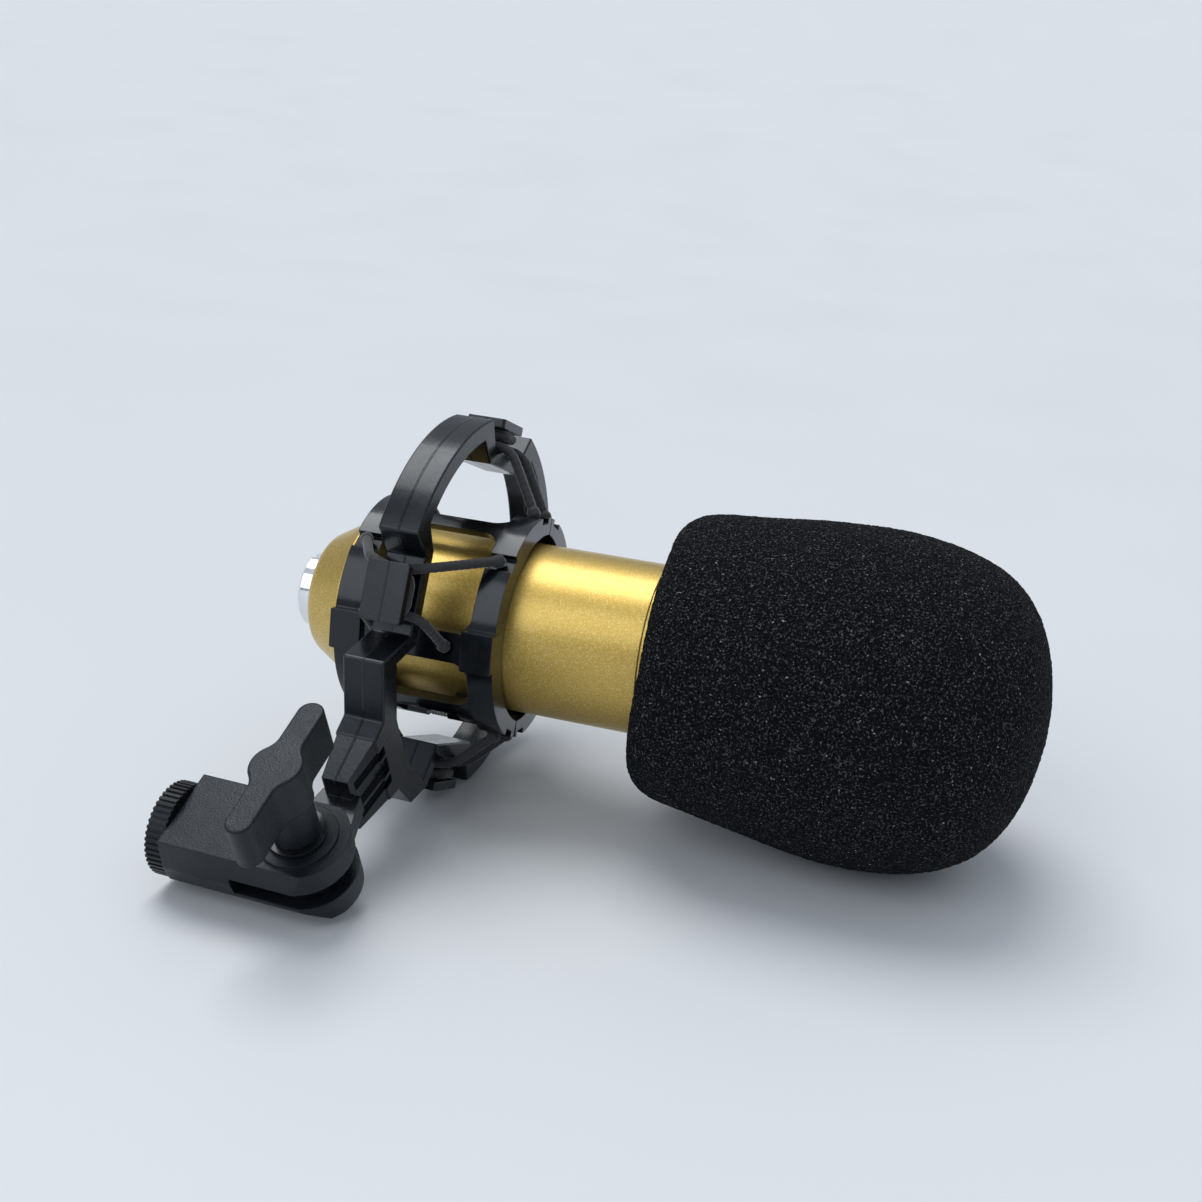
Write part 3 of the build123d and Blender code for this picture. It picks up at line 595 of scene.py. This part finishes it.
def studio_bowl():
    """Pale floor whose rim turns up into a seamless wall all round."""
    profile = [(BOWL_FLAT, 0.0)]
    for i in range(1, BOWL_RINGS + 1):
        out = i / BOWL_RINGS
        profile.append((BOWL_FLAT + BOWL_REACH * out, BOWL_RISE * out ** BOWL_CURVE))
    centre = Vector((MIC.x + BOWL_FORWARD, MIC.y, FLOOR))
    work = bmesh.new()
    rings = []
    for radius, height in profile:
        ring = []
        for k in range(BOWL_AROUND):
            turn = 2 * pi * k / BOWL_AROUND
            ring.append(work.verts.new(centre + Vector((radius * cos(turn), radius * sin(turn), height))))
        rings.append(ring)
    middle = work.verts.new(centre)
    for k in range(BOWL_AROUND):
        n = (k + 1) % BOWL_AROUND
        work.faces.new((middle, rings[0][k], rings[0][n]))
        for lower, upper in zip(rings, rings[1:]):
            work.faces.new((lower[k], lower[n], upper[n], upper[k]))
    bmesh.ops.recalc_face_normals(work, faces=work.faces)
    if middle.normal.z < 0:
        bmesh.ops.reverse_faces(work, faces=work.faces)
    mesh = bpy.data.meshes.new("studio_bowl")
    work.to_mesh(mesh)
    work.free()
    return mesh


paper = Shader("studio_paper")
paper.set(Base_Color=paper.mix(paper.noise(3, 3), rgb(0.70, 0.725, 0.76), rgb(0.72, 0.74, 0.77)))
paper.set(Roughness=paper.remap(paper.noise(8), 0.3, 0.7, 0.42, 0.55), Specular_IOR_Level=0.3)
paper.set(Normal=paper.bump(paper.noise(900, 2), 0.02 * MM, 0.3))
bowl = bpy.data.objects.new("studio_bowl", studio_bowl())
bpy.context.scene.collection.objects.link(bowl)
bowl.data.materials.append(paper.material)
for face in bowl.data.polygons:
    face.use_smooth = True


def soft_light(name, origin, width, power, color):
    """Wide light from the direction of origin that reaches everything evenly."""
    light = bpy.data.lights.new(name, "SUN")
    light.angle = radians(width)
    light.energy = power
    light.color = color
    holder = bpy.data.objects.new(name, light)
    bpy.context.scene.collection.objects.link(holder)
    holder.rotation_euler = (-Vector(origin)).to_track_quat("-Z", "Y").to_euler()


def studio_air():
    """World that is brighter overhead, and as pale as the floor where the camera sees it."""
    world = bpy.data.worlds.new("studio_air")
    world.use_nodes = True
    sky = world.node_tree
    upward = sky.nodes.new("ShaderNodeSeparateXYZ")
    sky.links.new(sky.nodes.new("ShaderNodeTexCoord").outputs["Generated"], upward.inputs["Vector"])
    level = sky.nodes.new("ShaderNodeMapRange")
    level.inputs["To Min"].default_value = 0.2
    level.inputs["To Max"].default_value = 0.72
    sky.links.new(upward.outputs["Z"], level.inputs["Value"])
    backdrop = sky.nodes.new("ShaderNodeMix")
    backdrop.inputs["B"].default_value = 0.87
    sky.links.new(sky.nodes.new("ShaderNodeLightPath").outputs["Is Camera Ray"], backdrop.inputs["Factor"])
    sky.links.new(level.outputs["Result"], backdrop.inputs["A"])
    sky.nodes["Background"].inputs["Color"].default_value = (0.84, 0.91, 1.0, 1.0)
    sky.links.new(backdrop.outputs["Result"], sky.nodes["Background"].inputs["Strength"])
    return world


soft_light("key_light", origin=(-0.35, 0.25, 1.1), width=38, power=1.45, color=(1.0, 0.99, 0.97))
soft_light("front_fill", origin=(-0.5, -1.0, 0.8), width=42, power=0.65, color=(0.95, 0.98, 1.0))
bpy.context.scene.world = studio_air()
bpy.context.scene.view_settings.view_transform = "Standard"

CAMERA_PLACE = Vector((143.4, -362.4, 142.5)) * MM
CAMERA_RIGHT = Vector((0.9519, 0.2970, 0.0757))
CAMERA_DOWN = Vector((0.1666, -0.2942, -0.9411))
CAMERA_FORWARD = Vector((-0.2572, 0.9084, -0.3295))
camera_data = bpy.data.cameras.new("photo_camera")
camera_data.sensor_width = 36.0
camera_data.lens = 44.93
camera_data.clip_start = 0.01
camera = bpy.data.objects.new("photo_camera", camera_data)
bpy.context.scene.collection.objects.link(camera)
turned = [TURN @ v for v in (CAMERA_RIGHT, -CAMERA_DOWN, -CAMERA_FORWARD)]
rotation = Matrix(turned).transposed()
camera.matrix_world = Matrix.Translation(MIC + TURN @ CAMERA_PLACE) @ rotation.to_4x4()
bpy.context.scene.camera = camera
